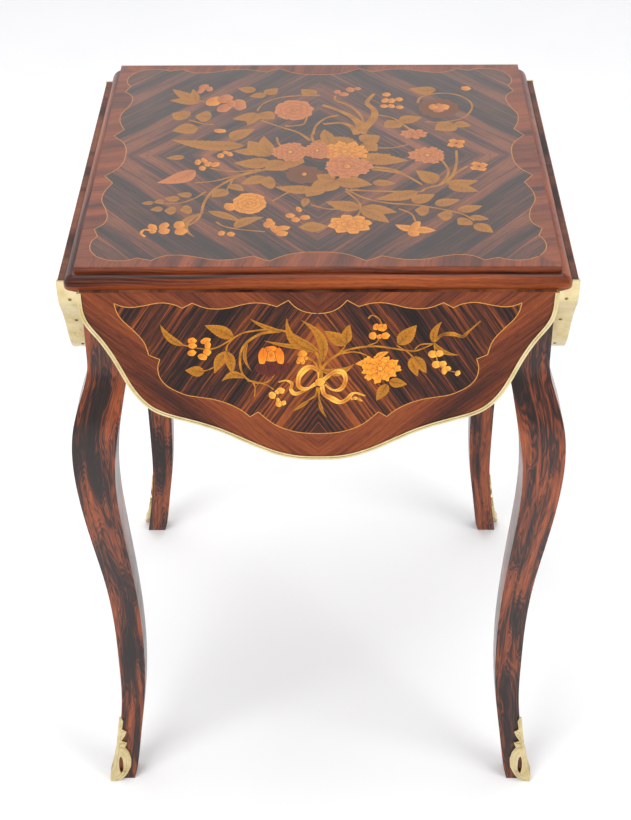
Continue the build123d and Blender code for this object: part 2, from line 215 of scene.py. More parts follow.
def grained(shader, along, across, depth, stops, figure, seed, lines=0.5, gloss=0.24,
            shine=0.16, coat=0.08):
    """Polished wood: broad dark figure, narrow stripes and open pores, all along the grain.

    figure is the density of the broad figure, lines the strength of the stripes, and gloss the
    roughness where the polish is best. A higher shine and coat mirror more.
    """
    wander = shader.streaks(along, across, seed, (9.0, 14.0), 2.0, 0.5)
    bent = shader.plus(across, shader.sway(wander, 0.010))
    layer = shader.plus(shader.times(depth, figure * 0.2), seed)
    broad = shader.streaks(along, bent, layer, (3.0, figure), 5.0, 0.55)
    stripe = shader.streaks(along, bent, seed, (6.0, 330.0), 4.0, 0.65)
    pores = shader.streaks(along, across, seed, (22.0, 1100.0), 2.0, 0.6)
    level = shader.plus(broad, shader.sway(stripe, lines))
    level = shader.plus(level, shader.sway(pores, lines * 0.45))
    flecks = shader.streaks(along, across, seed, (90.0, 1500.0), 1.0, 0.5)
    fleck = shader.ramp(flecks, (0.56, (1.0, 1.0, 1.0)), (0.68, (0.42, 0.38, 0.36)))
    colour = shader.tint(0.75, shader.ramp(level, *stops), fleck, "MULTIPLY")
    shader.bump(pores, PORE_STRENGTH, PORE_DEPTH)
    smear = shader.noise(shader.vector(*shader.axes()), 22.0, 3.0, 0.6)
    return shader.set(Base_Color=colour, Roughness=shader.plus(gloss, shader.times(smear, 0.16)),
                      Coat_Weight=coat, Coat_Roughness=POLISH_ROUGHNESS,
                      Specular_IOR_Level=shine)


def top_field():
    """Quarter-matched veneer: the grain runs in lozenges about the middle."""
    s = Shader("top_field")
    x, y, z = s.axes()
    along, across = turned(s, s.size(x), s.size(y), TOP_LOZENGE)
    return grained(s, along, across, z, TOP_FIELD, figure=34.0, seed=3.1, lines=0.62, shine=0.45,
                   coat=0.55)


def top_border():
    """Cross-banding, its grain nearly square to the nearest edge."""
    s = Shader("top_border")
    x, y, z = s.axes()
    side = s.math("GREATER_THAN", s.size(x), s.size(y))
    slant, cross = turned(s, s.blend(side, y, x), s.blend(side, x, y), TOP_BAND_SLANT)
    return grained(s, slant, cross, z, BORDER, figure=50.0, seed=8.4, lines=0.34, shine=0.4,
                   coat=0.4)


def moulding_wood():
    """Moulded edge, its grain along the nearest edge of the top."""
    s = Shader("top_moulding")
    x, y, z = s.axes()
    side = s.math("GREATER_THAN", s.size(x), s.size(y))
    along = s.blend(side, x, y)
    across = s.plus(z, s.times(s.blend(side, y, x), 0.6))
    return grained(s, along, across, s.times(across, 0.5), MOULDING, figure=110.0, seed=2.2,
                   lines=0.4, shine=0.25, coat=0.15)


def leaf_wood(name, stops, degrees, along_x, seed, figure=30.0, lines=1.0):
    """Book-matched veneer on a hanging leaf: mirrored about its middle."""
    s = Shader(name)
    x, y, z = s.axes()
    sideways, depth = (x, y) if along_x else (y, x)
    along, across = turned(s, s.size(sideways), s.times(z, -1.0), degrees)
    return grained(s, along, across, depth, stops, figure=figure, seed=seed, lines=lines)


def leg_wood(name, seed):
    """Rosewood down a leg: dark, with orange-red figure that dark contours run round."""
    s = Shader(name)
    x, y, z = s.axes()
    across = s.minus(s.size(x), s.times(s.size(y), 0.8))
    shape = s.streaks(z, across, seed, (8.0, 52.0), 2.5, 0.5, 0.35)
    contours = s.math("SINE", s.times(shape, 120.0))
    stripe = s.streaks(z, across, seed, (7.0, 260.0), 4.0, 0.6)
    level = s.plus(s.plus(shape, s.times(contours, 0.06)), s.sway(stripe, 0.62))
    pores = s.streaks(z, across, seed, (40.0, 1300.0), 2.0, 0.6)
    fleck = s.ramp(pores, (0.42, (0.62, 0.58, 0.56)), (0.58, (1.1, 1.08, 1.06)))
    colour = s.tint(0.8, s.ramp(level, *ROSEWOOD), fleck, "MULTIPLY")
    s.bump(pores, PORE_STRENGTH, PORE_DEPTH)
    smear = s.noise(s.vector(x, y, z), 26.0, 3.0, 0.6)
    return s.set(Base_Color=colour, Roughness=s.plus(0.22, s.times(smear, 0.18)),
                 Coat_Weight=0.25, Coat_Roughness=POLISH_ROUGHNESS, Specular_IOR_Level=0.35)


def plain_wood(name, stops, seed):
    """Unpolished secondary wood inside the frame."""
    s = Shader(name)
    x, y, z = s.axes()
    return grained(s, s.plus(x, y), z, s.minus(x, y), stops, figure=60.0, seed=seed, gloss=0.5,
                   coat=0.0)


def inlay_wood(name, colour, scorched, angle):
    """Small inlaid piece, darker where scorched in hot sand, and faded on the top."""
    s = Shader(name)
    x, y, z = s.axes()
    along, across = turned(s, s.plus(x, y), z, angle)
    grain = s.streaks(along, across, s.times(s.minus(x, y), 500.0), (60.0, 700.0), 3.0, 0.6)
    shade = s.node("ShaderNodeAttribute", attribute_name="shade").outputs["Fac"]
    streak = s.ramp(grain, (0.35, (0.72, 0.68, 0.64)), (0.62, (1.08, 1.06, 1.04)))
    base = s.tint(0.9, s.tint(shade, (*scorched, 1.0), (*colour, 1.0)), streak, "MULTIPLY")
    on_top = s.math("GREATER_THAN", z, TOP_Z - FADED_DEPTH)
    faded = s.tint(1.0, base, (0.80, 0.80, 1.0, 1.0), "MULTIPLY")
    faded = s.tint(0.32, faded, (0.30, 0.19, 0.12, 1.0))
    s.bump(grain, PORE_STRENGTH, 0.0003)
    return s.set(Base_Color=s.tint(on_top, base, faded), Roughness=0.33, Coat_Weight=0.1,
                 Coat_Roughness=POLISH_ROUGHNESS, Specular_IOR_Level=0.15)


def metal(name, colour, dark, rough):
    """Brass or steel with fine scratches, a little tarnish and a hand-worked unevenness."""
    s = Shader(name)
    where = s.vector(*s.axes())
    tarnish = s.noise(where, 60.0, 5.0, 0.6)
    spots = s.noise(where, 240.0, 2.0, 0.5)
    scratch = s.noise(where, 1200.0, 2.0, 0.6)
    spotted = s.ramp(spots, (0.20, (0.55, 0.50, 0.40)), (0.28, (1.0, 1.0, 1.0)))
    base = s.ramp(tarnish, (0.30, dark), (0.60, colour))
    s.bump(s.plus(tarnish, s.times(scratch, 0.12)), 0.04, 0.0012)
    return s.set(Base_Color=s.tint(0.8, base, spotted, "MULTIPLY"), Metallic=1.0,
                 Roughness=s.plus(rough, s.times(tarnish, 0.2)))


FIELD_X = leaf_wood("leaf_field_x", FIELD, LEAF_FIELD_SLANT, True, 5.2)
FIELD_Y = leaf_wood("leaf_field_y", FIELD, LEAF_FIELD_SLANT, False, 1.7)
BORDER_X = leaf_wood("leaf_border_x", BORDER, LEAF_BORDER_SLANT, True, 9.3, lines=0.62)
BORDER_Y = leaf_wood("leaf_border_y", BORDER, LEAF_BORDER_SLANT, False, 6.6, lines=0.62)
GILT = metal("gilt_brass", (0.74, 0.62, 0.36), (0.58, 0.46, 0.22), 0.20)
HINGE = metal("aged_brass", (0.60, 0.43, 0.18), (0.30, 0.20, 0.08), 0.30)
NAILS = metal("dark_brass", (0.34, 0.24, 0.10), (0.12, 0.08, 0.03), 0.35)
STEEL = metal("dull_steel", (0.42, 0.40, 0.37), (0.20, 0.18, 0.16), 0.32)

# Inlaid woods by the letter that the drawings use: name, colour, scorched colour, grain.
TONES = {
    "o": inlay_wood("inlay_olive", (0.50, 0.195, 0.012), (0.17, 0.055, 0.005), 20.0),
    "y": inlay_wood("inlay_orange", (0.95, 0.37, 0.030), (0.46, 0.095, 0.008), 50.0),
    "g": inlay_wood("inlay_deep_orange", (0.95, 0.28, 0.012), (0.38, 0.050, 0.004), 70.0),
    "c": inlay_wood("inlay_box", (0.95, 0.47, 0.070), (0.52, 0.17, 0.016), 35.0),
    "p": inlay_wood("inlay_tulipwood", (0.72, 0.24, 0.072), (0.30, 0.060, 0.014), 60.0),
    "r": inlay_wood("inlay_red", (0.125, 0.020, 0.011), (0.045, 0.010, 0.007), 80.0),
    "d": inlay_wood("engraved_line", (0.045, 0.016, 0.007), (0.045, 0.016, 0.007), 10.0),
    "s": inlay_wood("stringing", (0.60, 0.26, 0.055), (0.60, 0.26, 0.055), 15.0),
}


# ---- looks of the CAD pieces -----------------------------------------------------

# Corners closer than this, m, are one, and edges that turn by more than this angle are eased.
SAME_CORNER = 0.00002
SHARP_EDGE = math.radians(32)


def paint(names, material):
    """Gives CAD nodes a material."""
    for node in names:
        slots = nodes[node].data.materials
        slots.clear()
        slots.append(material)


def soften(names, width):
    """Rounds the sharp edges a little, as finishing does."""
    for node in names:
        weld = nodes[node].modifiers.new("weld", "WELD")
        weld.merge_threshold = SAME_CORNER
        bevel = nodes[node].modifiers.new("bevel", "BEVEL")
        bevel.width = width
        bevel.segments = 3
        bevel.limit_method = "ANGLE"
        bevel.angle_limit = SHARP_EDGE
        bevel.harden_normals = False


def paint_side(side):
    """One leaf with its fittings, and the apron behind it. The seeds vary the wood."""
    in_x = lies_along_x(side)
    turn = SIDES[side]
    core = leaf_wood(side + "_leaf_core", LIPS, 0.0, in_x, 4.0 + turn / 40, figure=80.0)
    paint([side + "_leaf"], core)
    paint([side + "_leaf_marquetry"], BORDER_X if in_x else BORDER_Y)
    paint([side + "_leaf_band"], GILT)
    paint([side + "_band_nails"], NAILS)
    paint([side + "_hinge_leaf_plates", side + "_stay_bracket", side + "_stay"], HINGE)
    paint([side + "_leaf_screws", side + "_stay_pin"], STEEL)
    paint([side + "_apron"], plain_wood(side + "_apron_wood", BORDER, 1.0 + turn / 55))


for side in SIDES:
    paint_side(side)
for i, corner in enumerate(CORNERS):
    paint([corner + "_leg"], leg_wood(corner + "_leg_wood", 2.0 + 3.7 * i))
    paint([corner + "_sabot"], GILT)
paint(["top_panel"], moulding_wood())
paint(["top_marquetry"], top_border())
paint(["corner_blocks"], plain_wood("oak", OAK, 7.0))
paint(["sabot_pins"], GILT)
paint(["hinge_top_plates", "stay_guides"], HINGE)
paint(["hinge_pins", "hinge_top_screws", "top_fixing_screws", "guide_screws"], STEEL)
soften([corner + "_leg" for corner in CORNERS], 0.0012)
soften([side + "_apron" for side in SIDES], 0.0010)
soften(["top_panel"], 0.0006)


# ---- marquetry -------------------------------------------------------------------
# Sheets are drawn flat, in mm. On a leaf the first number is across and the second is the depth
# below the top surface; on the top they are x and y.

# Heights over the veneer, mm: the dark ground, the stringing round it and the inlays. Each layer
# of inlays is one LAYER over what it covers.
GROUND = 0.02
STRING = 0.04
INLAY = 0.05
LAYER = 0.001

# Points along a leaf and round a petal, and where a leaf's side veins start.
LEAF_STEPS = 22
PETAL_STEPS = 20
VEINS = (5, 9, 13)

# Angle of a petal that stands upright.
UPRIGHT = 1.57

# Rings of petals in a flower: ring's share of its radii, petals, their size and first angle.
ROSE_RINGS = ((0.66, 8, 0.46, 0.2), (0.40, 6, 0.36, 0.6), (0.16, 3, 0.26, 1.1))
PEONY_RINGS = ((0.72, 11, 0.34, 0.0), (0.48, 8, 0.32, 0.35), (0.24, 5, 0.26, 0.1))


def smooth(points, steps=6):
    """Catmull-Rom curve through the points."""
    last = len(points) - 1
    out = []
    for i in range(last):
        run = points[max(i - 1, 0)], points[i], points[i + 1], points[min(i + 2, last)]
        for k in range(steps):
            t = k / steps
            out.append(tuple(0.5 * (2 * b + (c - a) * t + (2 * a - 5 * b + 4 * c - d) * t * t
                                    + (3 * b - a - 3 * c + d) * t ** 3)
                             for a, b, c, d in zip(*run)))
    return out + [points[-1]]


def make_mesh(name, verts, faces, material, body, shades=None):
    """A mesh from points in mm that rides on a body."""
    mesh = bpy.data.meshes.new(name)
    mesh.from_pydata([Vector(v) * MM for v in verts], [], faces)
    mesh.materials.append(material)
    if shades is not None:
        mesh.attributes.new("shade", "FLOAT", "POINT").data.foreach_set("value", shades)
    made = bpy.data.objects.new(name, mesh)
    bpy.context.scene.collection.objects.link(made)
    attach(made, body)
    return made


class Sheet:
    """Collects thin inlaid pieces for one panel, one mesh to a wood."""

    def __init__(self, place, stretch=1.0):
        self.place = place
        self.stretch = stretch
        self.parts = {}
        self.laid = []
        self.loose = []
        self.level = 0.0

    def add(self, tone, verts, faces, shades, lift=0.0):
        """One flat piece, at its height within the drawing being made."""
        self.loose.append((tone, verts, faces, shades, self.level + lift))

    def settle(self, least):
        """Lays the drawing just made over whatever it overlaps."""
        points = [point for piece in self.loose for point in piece[1]]
        x0, x1 = min(a for a, b in points), max(a for a, b in points)
        y0, y1 = min(b for a, b in points), max(b for a, b in points)
        base = least
        for u0, u1, v0, v1, top in self.laid:
            if u0 < x1 and u1 > x0 and v0 < y1 and v1 > y0:
                base = max(base, top + LAYER)
        for tone, verts, faces, shades, height in self.loose:
            group = self.parts.setdefault(tone, ([], [], []))
            first = len(group[0])
            group[0].extend(self.place(a, b * self.stretch, base + height) for a, b in verts)
            group[1].extend(tuple(first + i for i in face) for face in faces)
            group[2].extend(shades)
        self.laid.append((x0, x1, y0, y1, base + self.level + 2 * LAYER))
        self.loose = []
        self.level = 0.0

    def strip(self, tone, line, widths, shades=None, lift=0.0):
        """Band along a line, with a width and a shade at each of its points."""
        verts, faces, tints = [], [], []
        last = len(line) - 1
        for i, (x, y) in enumerate(line):
            ax, ay = line[max(i - 1, 0)]
            bx, by = line[min(i + 1, last)]
            length = math.hypot(bx - ax, by - ay) or 1.0
            nx, ny = -(by - ay) / length, (bx - ax) / length
            w = widths[i] / 2
            verts += [(x + nx * w, y + ny * w), (x - nx * w, y - ny * w)]
            tints += [shades[i] if shades else 1.0] * 2
            if i:
                faces.append((2 * i - 2, 2 * i, 2 * i + 1, 2 * i - 1))
        self.add(tone, verts, faces, tints, lift)

    def fan(self, tone, centre, rim, shades, lift=0.0):
        """Flat shape from a centre to a rim, with a shade at the centre and at each rim point."""
        n = len(rim)
        faces = [(0, i + 1, (i + 1) % n + 1) for i in range(n)]
        self.add(tone, [centre] + rim, faces, shades, lift)

    def stem(self, tone, w0, w1, points):
        line = smooth(points)
        n = len(line) - 1
        widths = [w0 + (w1 - w0) * i / n for i in range(n + 1)]
        self.strip(tone, line, widths, [0.75 + 0.25 * math.sin(i * 0.9) for i in range(n + 1)])

    def ribbon(self, tone, width, points):
        """Tapered ribbon with a dark edge and a dark line down its middle."""
        line = smooth(points, 8)
        n = len(line) - 1
        widths = []
        for i in range(n + 1):
            u = i / n
            swell = math.sin(math.pi * min(1.0, u * 1.15 + 0.06)) ** 0.6
            twist = 0.8 + 0.2 * math.cos(u * 17)
            widths.append(width * (0.35 + 0.65 * swell * twist))
        shades = [0.55 + 0.45 * math.cos(i / n * 15.0) for i in range(n + 1)]
        self.strip("d", line, [w + 0.5 for w in widths])
        self.strip(tone, line, widths, shades, LAYER)
        self.strip("d", line[2:-2], [0.28] * (n - 3), lift=2 * LAYER)

    def leaf(self, tone, width, bend, x0, y0, x1, y1):
        """Pointed leaf from base to tip, toothed if large, with its midrib and side veins."""
        length = math.hypot(x1 - x0, y1 - y0)
        ux, uy = (x1 - x0) / length, (y1 - y0) / length
        slim = min(1.0, 2.2 * width / length + 0.35) * 0.92
        teeth = 0.05 if tone == "o" and width > 9 else 0.0
        n = LEAF_STEPS
        spine, half, verts, shades, faces = [], [], [], [], []
        for i in range(n + 1):
            u = i / n
            off = bend * length * 4 * u * (1 - u) * 0.6
            x, y = x0 + ux * length * u - uy * off, y0 + uy * length * u + ux * off
            body = math.sin(math.pi * u ** 0.8) ** 0.85 * (1.12 - 0.35 * u)
            w = width / 2 * slim * body * (1 + teeth * (1 if i % 2 else -1)) + 0.05
            spine.append((x, y))
            half.append(w)
            verts += [(x - uy * w, y + ux * w), (x, y), (x + uy * w, y - ux * w)]
            shades += [0.9, 0.35 + 0.5 * u, 0.75]
            if i:
                b = 3 * i
                faces += [(b - 3, b, b + 1, b - 2), (b - 2, b + 1, b + 2, b - 1)]
        self.add(tone, verts, faces, shades)
        if width >= 3.0:
            self.strip("d", spine[:-1], [0.34 - 0.2 * i / n for i in range(n)], lift=LAYER)
        if width > 6.0:
            for k in VEINS:
                for sign in (1, -1):
                    x, y = spine[k]
                    reach = half[k] * 0.72
                    ex = x + ux * reach * 0.75 - uy * sign * reach
                    ey = y + uy * reach * 0.75 + ux * sign * reach
                    self.strip("d", [(x, y), ((x + ex) / 2, (y + ey) / 2), (ex, ey)],
                               [0.26, 0.22, 0.1], lift=LAYER)

    def petal(self, tone, cx, cy, rx, ry, angle=0.0, ragged=0.0, dark=0.25, line=0.45):
        """Rounded petal in a dark line, scorched towards its root at the angle's back."""
        c, s = math.cos(angle), math.sin(angle)
        turns = [2 * math.pi * k / PETAL_STEPS for k in range(PETAL_STEPS)]

        def rim(grow):
            out = []
            for t in turns:
                wave = 1 + ragged * math.sin(t * 5 + cx) * (0.5 + 0.5 * math.cos(t))
                px = (rx * wave + grow) * math.cos(t)
                py = (ry * wave + grow) * math.sin(t)
                out.append((cx + px * c - py * s, cy + px * s + py * c))
            return out

        self.fan("d", (cx, cy), rim(line / 2), [1.0] * (PETAL_STEPS + 1))
        root = (cx - rx * 0.55 * c, cy - rx * 0.55 * s)
        shades = [dark] + [0.72 + 0.28 * math.cos(t) for t in turns]
        self.fan(tone, root, rim(-line / 4), shades, LAYER)
        self.level += 3 * LAYER

    def whorl(self, tone, x, y, rx, ry, ring, count, first, long, wide, look, swell=0.0):
        """Ring of petals turned outwards; look is how ragged, how dark and how wide a line."""
        for k in range(count):
            t = 2 * math.pi * k / count + first
            share = ring * (1 + swell * math.sin(3 * t + x))
            out = math.atan2(ry * math.sin(t), rx * math.cos(t))
            self.petal(tone, x + rx * share * math.cos(t), y + ry * share * math.sin(t),
                       rx * long, ry * wide, out, *look)

    def blob(self, tone, rx, ry, x, y):
        """Single petal, or a small leaf in olive, or an open many-petalled flower in red."""
        if tone == "o":
            tilt = 0.25 * math.sin(x)
            dx, dy = rx * math.cos(tilt), rx * math.sin(tilt)
            self.leaf(tone, 2 * ry, 0.0, x + dx, y + dy, x - dx, y - dy)
        elif tone == "r":
            for k in range(9):
                t = 2 * math.pi * k / 9 + 0.3
                self.petal(tone, x + rx * 0.55 * math.cos(t), y + ry * 0.55 * math.sin(t),
                           rx * 0.45, ry * 0.42, t, 0.12, 0.4, 0.25)
            self.petal(tone, x, y, rx * 0.5, ry * 0.5, 0.0, 0.1, 0.2, 0.25)
        else:
            self.petal(tone, x, y, rx, ry, 0.4 * math.sin(x + y), 0.08, 0.3)

    def half_open(self, rx, ry, x, y):
        """Half-open rose seen from the side: one back petal, a cup, two sides and the heart."""
        self.petal("p", x, y, rx * 0.6, ry * 0.8, UPRIGHT, 0.0, 0.2, 0.3)
        self.petal("g", x, y - ry * 0.66, rx * 0.50, ry * 0.30, 0.0, 0.08, 0.4, 0.5)
        for side in (-1, 1):
            self.petal("g", x + side * rx * 0.66, y + ry * 0.08, ry * 0.88, rx * 0.34,
                       UPRIGHT - side * 0.12, 0.06, 0.4, 0.5)
        self.petal("y", x, y + ry * 0.05, ry * 0.55, rx * 0.30, UPRIGHT, 0.0, 0.3, 0.4)
        self.petal("g", x, y + ry * 0.16, ry * 0.30, rx * 0.18, 1.35, 0.0, 0.2, 0.3)

    def rose(self, tone, rx, ry, x, y):
        """Full rose seen from above; one in deep orange is half open."""
        if tone == "g":
            self.half_open(rx, ry, x, y)
            return
        for ring, count, size, first in ROSE_RINGS:
            self.whorl(tone, x, y, rx, ry, ring, count, first, size, size * 0.9,
                       (0.08, 0.12, 0.4))
        self.petal(tone, x, y, rx * 0.14, ry * 0.16, 0.5, 0.0, 0.2, 0.4)

    def peony(self, tone, rx, ry, x, y):
        for ring, count, size, first in PEONY_RINGS:
            self.whorl(tone, x, y, rx, ry, ring, count, first, size, size * 0.85,
                       (0.18, 0.1, 0.35), 0.12)
        self.petal("c", x, y, rx * 0.13, ry * 0.15, 0.0, 0.0, 0.3, 0.4)

    def star(self, tone, rx, ry, x, y):
        self.whorl(tone, x, y, rx, ry, 0.55, 4, 0.55, 0.48, 0.40, (0.15, 0.2, 0.35))
        self.petal("d", x, y, rx * 0.13, ry * 0.15)

    def draw(self, words):
        """One line of a drawing: its kind, its wood, two measures and its points."""
        kind, tone, *rest = words.split()
        a, b, *xy = (float(v) for v in rest)
        points = list(zip(xy[0::2], xy[1::2]))
        if kind == "S":
            self.stem(tone, a, b, points)
        elif kind == "K":
            self.ribbon(tone, a, points)
        else:
            shapes = {"F": self.leaf, "B": self.blob, "R": self.rose, "P": self.peony,
                      "X": self.star}
            shapes[kind](tone, a, b, *xy)
        self.settle(INLAY)

    def field(self, outline, material, name, body):
        """The dark ground inside the stringing, and the stringing round it."""
        verts = [self.place(a, b * self.stretch, GROUND) for a, b in outline]
        ground = make_mesh(name, verts, [tuple(range(len(verts)))], material, body)
        self.strip("s", outline + outline[:2], [0.95] * (len(outline) + 2))
        self.settle(STRING)
        self.laid = []

    def finish(self, name, body):
        """Makes the meshes, one for each wood used."""
        for tone, (verts, faces, shades) in sorted(self.parts.items()):
            made = make_mesh(f"{name}_inlay_{TONES[tone].name}", verts, faces, TONES[tone], body,
                             shades)


def pieces(runs):
    """Outline from runs of points, each run smooth and meeting the next at a point."""
    out = []
    for run in runs:
        out += smooth(run, 5)[:-1]
    return out + [runs[-1][-1]]


# Curves of the stringing, mm, each run smooth and meeting the next at a point.
# On a leaf: across, and depth below the top surface. On the top: x and y.
LEAF_RUNS = [
    [(0, 44.8), (-9, 43.8), (-17, 41), (-24, 36), (-30.1, 28.8)],
    [(-30.1, 28.8), (-42.1, 36.3)],
    [(-42.1, 36.3), (-54, 32.6), (-66, 31.8), (-78, 34), (-90, 37.5), (-103, 39.1), (-116, 37.6),
     (-128.9, 31.9)],
    [(-128.9, 31.9), (-139.1, 37.9)],
    [(-139.1, 37.9), (-149, 33.3), (-162, 31.6), (-178, 34.8), (-191, 37), (-201, 35.8),
     (-209, 32.2)],
    [(-209, 32.2), (-207.3, 42), (-202.5, 52), (-194, 62), (-186, 72), (-180.5, 82),
     (-177.3, 95.8)],
    [(-177.3, 95.8), (-166, 101.2)],
    [(-166, 101.2), (-168.8, 112), (-167, 125), (-160, 135), (-150, 142), (-139, 147),
     (-126, 149.5), (-113, 152), (-100, 156.2), (-89, 162), (-80, 168.5), (-73.5, 175)],
    [(-73.5, 175), (-64.4, 168.9)],
    [(-64.4, 168.9), (-56, 177.5), (-46, 186), (-34, 192), (-20, 196), (0, 197.6)],
]
TOP_RUNS = [
    [(0, -220.7), (-14, -221.4), (-27, -224.3), (-38, -230), (-50.1, -239.3)],
    [(-50.1, -239.3), (-66.9, -228.8)],
    [(-66.9, -228.8), (-80, -233.6), (-93, -236.5), (-109, -236.2), (-128, -230),
     (-145, -226.6), (-160, -228.8), (-171.7, -237.6)],
    [(-171.7, -237.6), (-186.9, -232.5)],
    [(-186.9, -232.5), (-197, -237.2), (-207.5, -238.2), (-218, -236), (-229.3, -229.3)],
]

# Drawings of the marquetry, mm, over one another in this order. Woods: o olive, y orange,
# g deep orange, c box, p tulipwood, r red.
# S stem: two widths, then points. K ribbon: width, 0, then points. F leaf: width, bend, base, tip.
# B single petal or leaf, R rose, P peony, X four-petalled flower: two radii, then the centre.
LEAF_MARQUETRY = [
    "S o 1.4 2.9 -141 83 -120 88 -105 86 -81 70 -68 66 -50 64 -35 66 -20 74 -4 90 1 102 4 123",
    "S o 1.1 3.4 -46 119 -50 127 -58 131 -69 130 -79 121 -82 106 -80 90 -72 78 -58 69 -39 66",
    "S o 1.1 2.1 -47 140 -54 134 -65 130 -75 128",
    "S o 0.9 2.1 -68 149 -67 137 -69 130",
    "S o 1.4 2.0 3 122 -1 109 -6 103 -11 100",
    "S o 1.1 1.8 -85 72 -94 83 -96 91",
    "S o 1.1 1.6 -121 116 -115 114 -110 111",
    "S o 2.3 1.4 -1 137 -3 147 -11 154 -20 162",
    "S o 2.3 1.4 1 137 1 152 5 165",
    "F o 16.2 0.05 -88 74 -117 59",
    "F o 7.6 -0.1 -37 67 -70 51",
    "F o 8.3 -0.06 -6 87 -56 78",
    "F o 13.0 -0.35 -1 92 -32 50",
    "F o 13.2 0.1 -95 91 -109 119",
    "F o 12.3 -0.1 -96 91 -91 120",
    "F o 14.6 0.0 -120 117 -140 115",
    "F o 9.6 -0.2 -140 84 -163 58",
    "F o 5.9 0.25 -73 81 -70 116",
    "F o 9.8 0.38 -77 124 -102 129",
    "F o 5.4 0.0 -10 154 -27 168",
    "F o 4.5 0.12 1 154 9 176",
    "B r 16.0 10.3 -49 111",
    "B r 6.6 7.0 -60 112",
    "B r 7.8 7.5 -37 111",
    "R g 13.6 12.1 -49 96",
    "B y 4.8 4.1 -131 78",
    "B y 4.6 3.7 -131 84",
    "B y 4.8 3.9 -132 93",
    "B y 5.8 3.7 -117 78",
    "B y 3.3 5.5 -115 84",
    "B y 4.3 4.6 -116 92",
    "B y 5.2 4.0 -121 98",
    "B y 4.6 3.7 -17 95",
    "B y 2.7 4.2 -20 103",
    "B y 2.7 3.7 -16 104",
    "B y 2.3 3.7 -13 99",
    "B c 3.9 4.8 -49 147",
    "B c 4.7 4.1 -40 141",
    "B c 2.4 2.9 -44 143",
    "B c 3.9 4.3 -42 158",
    "B c 2.8 3.4 -37 157",
    "B c 2.0 2.9 -43 153",
    "K c 5.0 0 -2 131 -13 140 -24 145 -29 140 -28 132 -34 128 -42 130",
    "K c 7.3 0 2 129 1 117 -7 111 -14 114 -20 123 -21 134 -15 139 -5 135 2 130",
    "S o 1.3 3.1 120 82 109 88 99 91 80 88 60 85 40 87 24 93 7 108 2 125",
    "S o 1.1 1.8 101 89 107 83 119 82",
    "S o 1.1 2.0 57 103 50 96 38 92 24 94",
    "S o 1.1 1.8 29 82 27 87 22 93",
    "S o 1.1 1.6 64 73 61 80 52 84",
    "S o 1.1 1.6 82 84 92 91 100 99",
    "S o 1.1 1.8 66 58 63 51 56 47 52 51",
    "S o 0.9 1.4 146 118 138 116 133 115 127 108 124 99 121 84",
    "S o 1.1 1.8 -15 96 -5 103 1 117",
    "F o 13.5 0.3 4 105 -17 53",
    "F o 7.7 0.1 1 93 -30 71",
    "F o 16.5 0.0 30 83 7 66",
    "F o 12.2 -0.1 30 81 33 58",
    "F o 17.8 0.0 84 83 102 59",
    "F o 12.3 0.1 99 98 105 123",
    "F o 13.0 -0.05 100 98 114 119",
    "F o 13.4 0.05 75 129 94 133",
    "F o 13.1 0.0 73 133 62 154",
    "F o 10.9 0.3 3 115 38 107",
    "F o 8.5 -0.2 120 81 128 55",
    "F o 7.2 0.25 120 80 148 96",
    "K o 5.3 0 121 79 129 71 140 70 150 73 156 67 168 54",
    "P y 19.9 15.8 65 113",
    "F y 11.9 0.12 60 108 39 107",
    "F y 7.8 -0.1 60 100 74 92",
    "B y 3.1 4.2 60 61",
    "B y 5.5 4.6 66 62",
    "B y 2.3 2.8 69 60",
    "B y 4.3 4.7 57 72",
    "B y 3.5 2.8 64 73",
    "B y 4.7 4.2 70 72",
    "B y 4.7 4.3 -16 94",
    "B y 4.0 3.8 -18 101",
    "B c 5.1 4.7 120 95",
    "B c 4.3 4.3 127 94",
    "B c 4.8 4.8 124 108",
    "B c 4.0 3.8 131 107",
    "B c 3.2 5.7 133 115",
    "B c 2.8 3.3 137 113",
    "B c 2.8 3.8 147 119",
    "K c 7.0 0 4 133 6 145 14 151 23 156 31 152 38 144 50 148",
    "K c 4.2 0 35 152 41 151 47 155",
    "K c 6.9 0 4 129 11 122 18 117 26 118 29 128 24 139 15 140 7 133",
    "B c 5.2 5.3 2 130",
]
